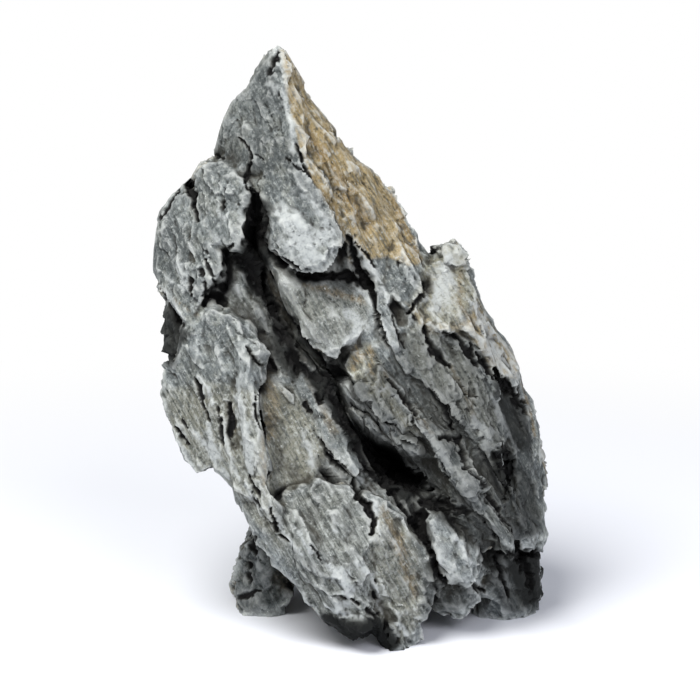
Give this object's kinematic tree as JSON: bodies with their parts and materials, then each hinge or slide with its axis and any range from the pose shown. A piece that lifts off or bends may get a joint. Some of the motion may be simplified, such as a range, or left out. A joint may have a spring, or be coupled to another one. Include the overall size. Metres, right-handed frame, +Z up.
{
  "type": "seiryu stone",
  "caption": "Jagged upright aquascape stone of blue-grey limestone with a leaning peak, layered plates, a deep diagonal cleft and flat-bottomed feet.",
  "frame": {"origin": "centre of the stone's bounding box in plan, at the level of the floor it stands on", "axes": "+Z up to the peak, +X across the stone to the right as it is seen from the front, +Y away from the front, into the back of the stone"},
  "size_m": [0.1504, 0.1098, 0.2163],
  "materials": {
    "stone": "rough weathered limestone, matt, with pale worn edges and ochre stain"
  },
  "bodies": {
    "root": {"stone": "stone"}
  },
  "joints": []
}
